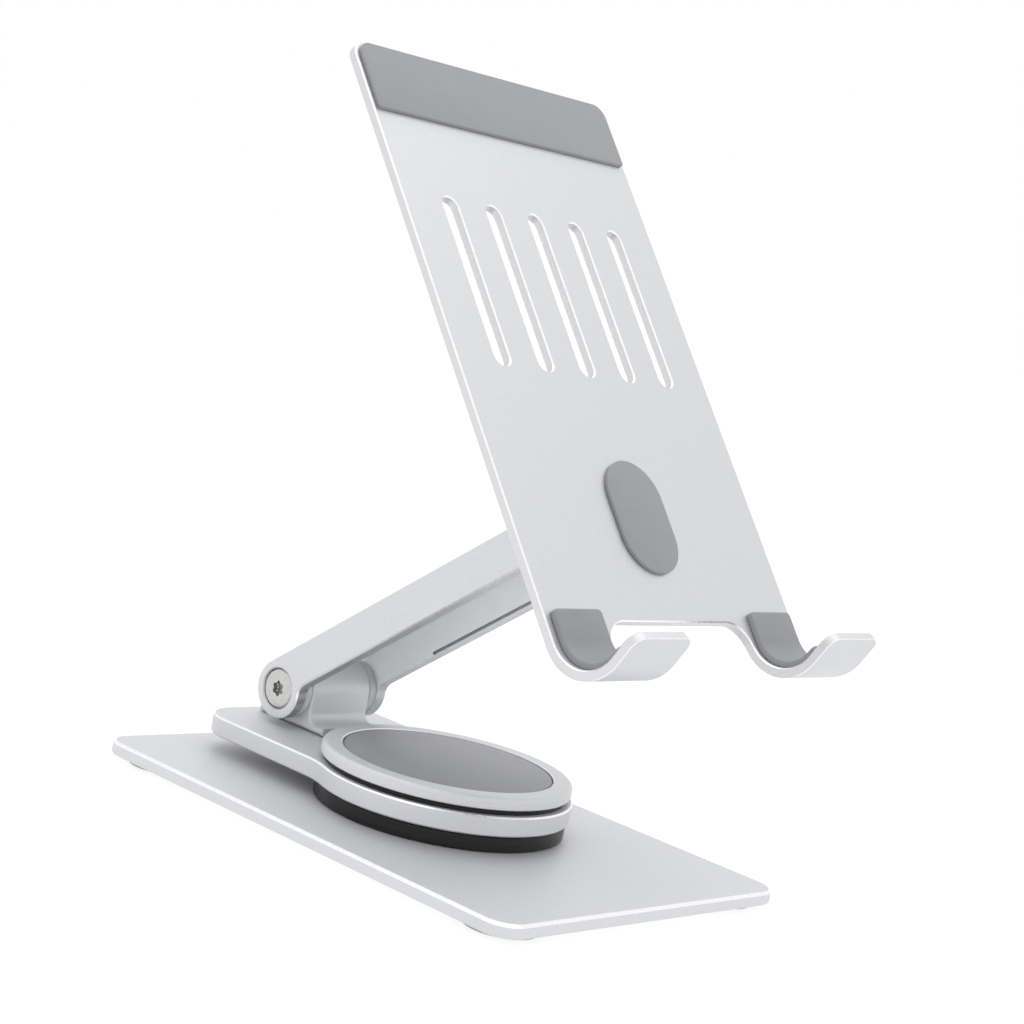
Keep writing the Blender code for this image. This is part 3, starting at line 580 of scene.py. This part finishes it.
def cap_bore(pin_y):
    """Cutter of a pin's hole through both cheeks, with the recesses for the bolt's head and the nut."""
    out = ARM_HALF + 0.002
    mouth, bevel = ARM_HALF - 0.0004, CAP_RECESS_R + 0.0024
    profile = [(0, -out), (bevel, -out), (CAP_RECESS_R, -mouth), (CAP_RECESS_R, -CAP_FLOOR),
               (PIN_BORE_R, -CAP_FLOOR), (PIN_BORE_R, CAP_FLOOR), (CAP_RECESS_R, CAP_FLOOR),
               (CAP_RECESS_R, mouth), (bevel, out), (0, out)]
    mesh = lathe(profile, 72, "X", materials=[EDGE, SIDE, SIDE, SIDE, SIDE, SIDE, EDGE])
    mesh.transform(Matrix.Translation((0, pin_y, 0)))
    return mesh


def star_socket(out, floor):
    """Six-lobed driver socket, as a cutter along X from out to the socket's floor.

    The faces that it leaves have the bolt's second material.
    """
    def outline(inset):
        turns = [math.tau * i / 72 for i in range(72)]
        radii = [STAR_R + STAR_WAVE * math.cos(6 * t) - inset for t in turns]
        return [(r * math.cos(t), r * math.sin(t)) for r, t in zip(radii, turns)]
    slope = 0.0004
    return slab(outline, [(0, out), (0, floor - slope), (slope, floor)], "X", materials=[1, 1], ends=1)


def build_arm(alu, cut, milled, inside):
    """The forked arm, one bar cut open from below and at both ends."""
    levels = edge_levels(-ARM_HALF, ARM_HALF, bottom=0.0005, top=0.0005)
    body = slab(arm_outline, levels, "X", materials=[BEVEL, EDGE, BEVEL])
    tools = [channel_tool(), groove_tool(), cheek_recess(-1), cheek_recess(1),
             cap_bore(0), cap_bore(-ARM_LENGTH)]
    # EDGE and GROOVE take the darker milled colour, which is painted shade.
    # INSIDE takes a pale, near white colour, which is painted light in the deep channel.
    finishes = {SIDE: alu, EDGE: milled, INSIDE: inside, GROOVE: milled, BEVEL: cut}
    materials = [finishes[number] for number in sorted(finishes)]
    piece("forked_arm", carved(body, *tools), AT_ARM, "arm", ["arm"], materials)


def build_pins(steel, socket):
    """Each hinge's bolt with its flat round head on the left, and its cap nut on the right."""
    cap = [(0, CAP_OUT), (CAP_R - 0.0011, CAP_OUT), (CAP_R - 0.0004, CAP_OUT - 0.0001),
           (CAP_R, CAP_OUT - 0.0005), (CAP_R, CAP_IN)]
    head = [(r, -x) for r, x in cap] + [(SHANK_R, -CAP_IN), (SHANK_R, SHANK_END), (0, SHANK_END)]
    hole_r, hole_end = SHANK_R + GAP, SHANK_END + GAP
    nut = [(0, hole_end), (hole_r, hole_end), (hole_r, CAP_IN)] + cap[::-1]
    for prefix, place in (("lower", AT_ARM), ("upper", AT_UPPER_END)):
        # The socket's faces take the darker socket colour, which is painted shade deep in the socket.
        bolt = carved(lathe(head, 96, "X"), star_socket(-CAP_OUT - 0.001, -CAP_OUT + STAR_DEPTH))
        piece(prefix + "_pivot_bolt", bolt, place, "arm", [prefix + "_hinge_bolt"], [steel, socket])
        piece(prefix + "_pivot_nut", lathe(nut, 96, "X"), place, "arm", [prefix + "_hinge_nut"], [steel])


def build_washers(nylon):
    """A washer on each side of both hinge blocks."""
    bevel = 0.0002
    for prefix, thick, place in (("lower", LOWER_WASHER_T, AT_ARM), ("upper", UPPER_WASHER_T, AT_UPPER_END)):
        for side, way in (("left", -1), ("right", 1)):
            low, high = sorted((way * WASHER_IN, way * (WASHER_IN + thick)))
            ring = [(PIN_BORE_R, high), (WASHER_R - bevel, high), (WASHER_R, high - bevel),
                    (WASHER_R, low + bevel), (WASHER_R - bevel, low), (PIN_BORE_R, low)]
            name = f"{prefix}_washer_{side}"
            piece(name + "_nylon", tube_ring(ring, 96, "X"), place, "arm", [name], [nylon])


# ---------------------------------------------------------------- holder

FACE, BEVELLED, SAWN = range(3)  # the sheet's material numbers


def bent(point):
    """Takes a point of the flat pattern (x, depth behind the front, height) to its place on the bent sheet.

    Below HOOK_Z the pattern wraps round the hooks' bend and then runs straight up the lips.
    """
    x, depth, height = point
    drop = HOOK_Z - height
    if drop <= 0:
        return Vector((x, -PLATE_FRONT + depth, height))
    turn = min(drop / HOOK_MIDDLE, HOOK_BEND)
    run = drop - turn * HOOK_MIDDLE
    radius = HOOK_R + depth
    y = -PLATE_FRONT - HOOK_R + radius * math.cos(turn)
    z = HOOK_Z - radius * math.sin(turn)
    return Vector((x, y - run * math.sin(turn), z - run * math.cos(turn)))


def bend_sheet(mesh):
    """Slices a flat sheet into narrow strips where it bends, then bends it."""
    work = bmesh.new()
    work.from_mesh(mesh)
    steps = 36
    for i in range(steps + 1):
        height = HOOK_Z - BEND_LENGTH * i / steps
        geometry = work.verts[:] + work.edges[:] + work.faces[:]
        bmesh.ops.bisect_plane(work, geom=geometry, dist=1e-7, plane_co=(0, 0, height), plane_no=(0, 0, 1))
    for vert in work.verts:
        vert.co = bent(vert.co)
    return to_mesh(work)


def sheet_outline(inset):
    """Flat pattern of the holder plate with its two hooks, (x, height)."""
    low = HOOK_Z - BEND_LENGTH - LIP + inset
    half, corner = PLATE_HALF - inset, PLATE_CORNER - inset
    inner, notch_r, notch_top = NOTCH_HALF + inset, NOTCH_R + inset, NOTCH_TOP + inset
    tip = LIP_CORNER - inset
    right = (arc((inner + tip, low + tip), tip, 180, 270, 10)
             + arc((half - tip, low + tip), tip, 270, 360, 10)
             + arc((half - corner, PLATE_TOP - inset - corner), corner, 0, 90, 14))
    left = [(-x, z) for x, z in right[::-1]]
    notch = (arc((-inner + notch_r, notch_top - notch_r), notch_r, 180, 90, 20)
             + arc((inner - notch_r, notch_top - notch_r), notch_r, 90, 0, 20))
    return right + left + notch


def slot_outline(x, grow):
    """Outline of a slot at x with round ends, wider by grow all round."""
    low, high, radius = SLOT_LOW + SLOT_HALF, SLOT_HIGH - SLOT_HALF, SLOT_HALF + grow
    return arc((x, high), radius, 0, 180, 20) + arc((x, low), radius, 180, 360, 20)


def slot_tool(x, front, back):
    """Cutter of one slot, flared at the sheet's front and back to the width of the bevels there."""
    past = 0.0010
    steps = [(front + past, -past), (0, front), (0, PLATE_T - back), (back + past, PLATE_T + past)]
    rings = [[(a, h, b) for a, b in slot_outline(x, grow)] for grow, h in steps]
    return loft(rings, materials=[BEVELLED, SAWN, BEVELLED])


def build_sheet():
    """The holder plate with its slots, bevelled in the flat and then bent."""
    front, back = 0.0004, 0.0002
    levels = edge_levels(0, PLATE_T, front, back)
    flat = slab(sheet_outline, levels, "Y", materials=[BEVELLED, SAWN, BEVELLED], ends=FACE)
    tools = [slot_tool((number - 2) * SLOT_PITCH, front, back) for number in range(5)]
    return bend_sheet(carved(flat, *tools))


def lug_outline(inset):
    """Side view of the upper hinge lug, (y, z) from the pin."""
    face = GAP - PLATE_BACK
    foot, hollow = face + LUG_FOOT_T - inset, LUG_HOLLOW + inset
    radius, neck, heel = LUG_R - inset, LUG_NECK - inset, inset - LUG_R - LUG_FOOT_DROP
    lean = math.degrees(math.asin(neck / radius))
    return ([(face, neck)] + arc((0, 0), radius, 180 - lean, -90, 40)
            + arc((foot + hollow, -radius - hollow), hollow, 90, 180, 8)
            + [(foot, heel), (face, heel)])


def build_holder(alu, cut, sawn):
    """The bent plate and the hinge lug on its back."""
    piece("bent_holder", build_sheet(), AT_HOLDER, "holder", ["holder_plate"], [alu, cut, sawn])
    levels = edge_levels(-KNUCKLE_HALF, KNUCKLE_HALF, bottom=0.0008, top=0.0008, steps=4)
    mesh = carved(slab(lug_outline, levels, "X"), pin_bore())
    piece("upper_knuckle", mesh, AT_HOLDER, "holder", ["upper_hinge_block"], [alu])


def top_pad_outline(inset):
    """Strip across the plate's top, with small lower corners and the plate's own corners above."""
    half, top, corner = TOP_PAD_HALF - inset, PLATE_TOP - 0.0010 - inset, 0.0048 - inset
    low, small = TOP_PAD_LOW + inset, max(0.0010 - inset, 1e-4)
    return (arc((half - small, low + small), small, -90, 0, 6)
            + arc((half - corner, top - corner), corner, 0, 90, 14)
            + arc((corner - half, top - corner), corner, 90, 180, 14)
            + arc((small - half, low + small), small, 180, 270, 6))


def hook_pad(middle):
    """Thin pad laid on the hook's inner face, bent with it."""
    outline = rounded_box(HOOK_PAD_HALF, HOOK_Z - BEND_LENGTH - HOOK_PAD_REACH, HOOK_PAD_TOP, 0.0016, 8)
    levels = edge_levels(-LIFT - HOOK_PAD_T, -LIFT, bottom=0.0005, top=0.00005, steps=4)
    flat = slab(outline, levels, "Y")
    flat.transform(Matrix.Translation((middle, 0, 0)))
    return bend_sheet(flat)


def build_pads(pad):
    """The silicone pads on the plate's front and in the hooks."""
    back = -PLATE_FRONT - LIFT
    levels = edge_levels(back - PAD_T, back, bottom=0.00018, top=0.00005, steps=3)
    oval = rounded_box(OVAL_HALF_W, OVAL_Z - OVAL_HALF_H, OVAL_Z + OVAL_HALF_H, OVAL_HALF_W - 1e-6, 40)
    for name, outline in (("top_pad", top_pad_outline), ("oval_pad", oval)):
        piece("silicone_" + name, slab(outline, levels, "Y"), AT_HOLDER, "holder", [name], [pad])
    for side, way in (("left", -1), ("right", 1)):
        name = "hook_pad_" + side
        piece("silicone_" + name, hook_pad(way * HOOK_PAD_X), AT_HOLDER, "holder", [name], [pad])


# ---------------------------------------------------------------- small parts that keep their CAD shape

def dress(names, material):
    """Gives CAD nodes a material and leaves their meshes alone."""
    for name in names:
        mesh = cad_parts[name].data
        mesh.materials.clear()
        mesh.materials.append(material)


# ---------------------------------------------------------------- camera, light and floor

def add_camera():
    """A long lens, low on the stand's front left, rolled so that the whole picture leans."""
    place = (-0.53535, TURN_Y - 0.47252, 0.18968)
    azimuth, elevation, roll = math.radians(-48.978), math.radians(6.857), math.radians(11.496)
    level = math.cos(elevation)
    forward = Vector((-math.sin(azimuth) * level, math.cos(azimuth) * level, -math.sin(elevation)))
    right = forward.cross(Vector((0, 0, 1))).normalized()
    up = right.cross(forward)
    rolled_right = right * math.cos(roll) + up * math.sin(roll)
    rolled_up = up * math.cos(roll) - right * math.sin(roll)
    turn = Matrix((rolled_right, rolled_up, -forward)).transposed().to_4x4()
    data = bpy.data.cameras.new("camera")
    data.lens, data.sensor_width = 81.52, 36
    data.shift_x, data.shift_y = -0.0031, 0.0016
    data.clip_start, data.clip_end = 0.01, 50
    camera = bpy.data.objects.new("camera", data)
    camera.matrix_world = Matrix.Translation(place) @ turn
    bpy.context.scene.collection.objects.link(camera)
    bpy.context.scene.camera = camera


def add_softbox(place, aim, size, power):
    """A square area light that faces aim."""
    data = bpy.data.lights.new("softbox_top", "AREA")
    data.shape, data.size, data.energy = "SQUARE", size, power
    light = bpy.data.objects.new("softbox_top", data)
    facing = (Vector(aim) - Vector(place)).to_track_quat("-Z", "Y").to_matrix().to_4x4()
    light.matrix_world = Matrix.Translation(place) @ facing
    bpy.context.scene.collection.objects.link(light)


def add_world():
    """Even white light from everywhere."""
    world = bpy.data.worlds.new("studio")
    bpy.context.scene.world = world
    world.use_nodes = True
    back = world.node_tree.nodes["Background"]
    back.inputs["Color"].default_value = (1.0, 1.0, 1.0, 1)
    back.inputs["Strength"].default_value = 1.0


def add_floor():
    """Plain paper that glows nearly white, so that only soft contact shadows show on it."""
    work = bmesh.new()
    bmesh.ops.create_grid(work, x_segments=1, y_segments=1, size=8)
    mesh = bpy.data.meshes.new("floor")
    work.to_mesh(mesh)
    work.free()
    n = Nodes("floor_paper")
    colour = n.tint(n.noise(30), (0.19, 0.19, 0.19), (0.21, 0.21, 0.21))
    n.shader.inputs["Emission Color"].default_value = (1, 1, 1, 1)
    n.shader.inputs["Emission Strength"].default_value = 0.85
    mesh.materials.append(n.finish(colour=colour, roughness=0.9, specular=0.1))
    floor = bpy.data.objects.new("floor", mesh)
    floor.location.z = -0.0002
    bpy.context.scene.collection.objects.link(floor)


# cut paints a highlight on the bevels and cut edges.
alu, cut, pad, steel = blasted_aluminium(), cut_aluminium_painted_highlight(), silicone(), turned_steel()
thick_alu = blasted_aluminium("thick_anodised_aluminium", metallic=0.45)
build_base(thick_alu, cut)
build_feet(foot_rubber())
build_rings(black_plastic())
build_disc(thick_alu, cut, pad)
build_turntable(thick_alu, cut)
build_arm(alu, cut, milled_aluminium_painted_shade(), cast_inside_painted_light())
build_pins(steel, socket_steel_painted_shade())
build_washers(washer_nylon())
build_holder(alu, cut, sawn_aluminium())
build_pads(pad)
dress([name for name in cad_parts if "screw" in name or name == "pivot_post"], steel)

add_camera()
add_world()
add_softbox((0.1, 0.1, 1.3), aim=(0, 0, 0.05), size=1.6, power=4)
add_floor()
bpy.context.scene.view_settings.view_transform = "Standard"
